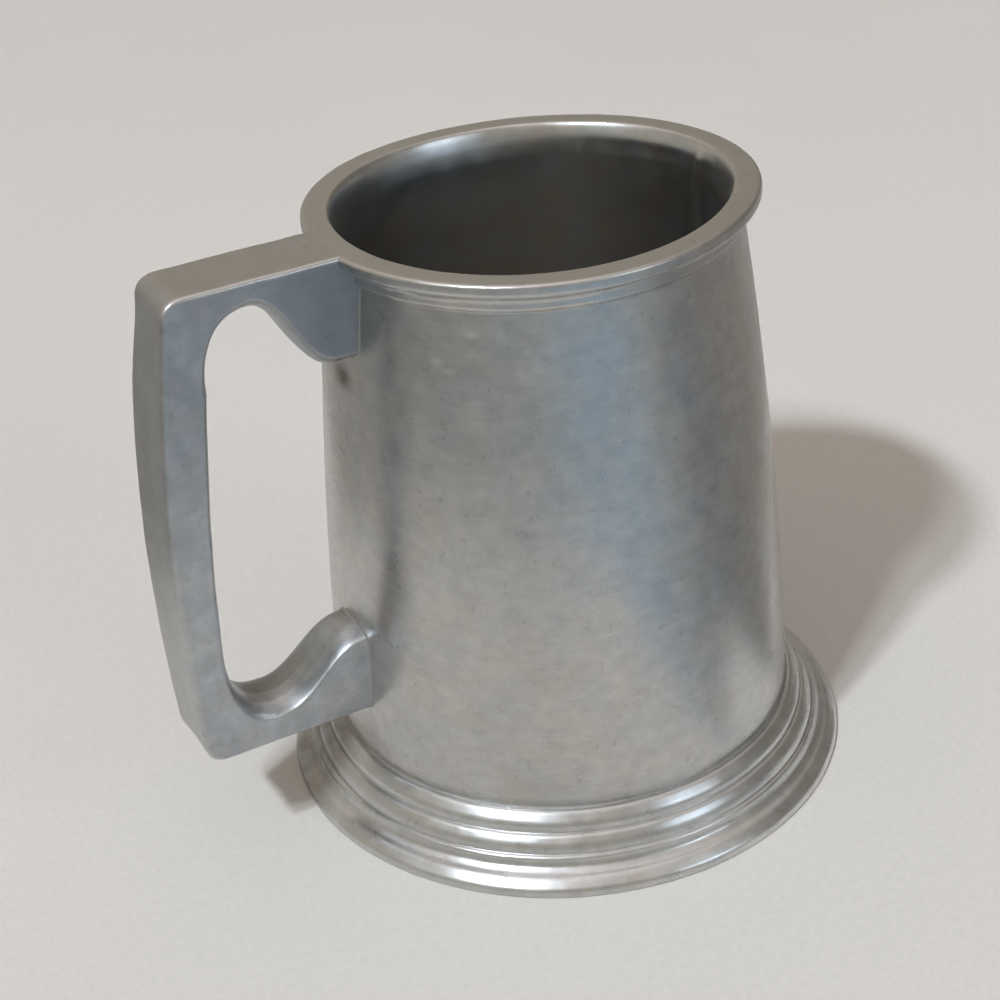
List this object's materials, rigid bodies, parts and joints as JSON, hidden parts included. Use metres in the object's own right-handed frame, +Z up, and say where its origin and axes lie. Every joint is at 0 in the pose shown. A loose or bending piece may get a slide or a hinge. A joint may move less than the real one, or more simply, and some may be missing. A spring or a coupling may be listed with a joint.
{
  "type": "pewter mug",
  "caption": "Tapered pewter drinking mug with a flat turned lip, a stepped flared foot ring and a flat-sided cast handle soldered to the drum.",
  "frame": {"origin": "centre of the mug's outer box on the surface it stands on, so the drum's axis lies 11.48 mm towards +X of it", "axes": "+Z up along the drum's axis, -X towards the handle, Y across the handle's width"},
  "size_m": [0.1388, 0.1158, 0.12],
  "materials": {
    "pewter_drum": "dull satin pewter with fine mottling, pits and faint scratches",
    "pewter_foot": "satin pewter, brighter on the worn edges of the mouldings",
    "pewter_floor": "dull oxidised pewter",
    "pewter_handle": "grey cast pewter with polished edges",
    "solder": "dull wiped solder"
  },
  "bodies": {
    "root": {"drum": "pewter_drum", "foot_ring": "pewter_foot", "floor_disc": "pewter_floor", "handle": "pewter_handle", "foot_solder_seam": "solder", "floor_solder_seam": "solder", "upper_handle_solder": "solder", "lower_handle_solder": "solder"}
  },
  "joints": []
}
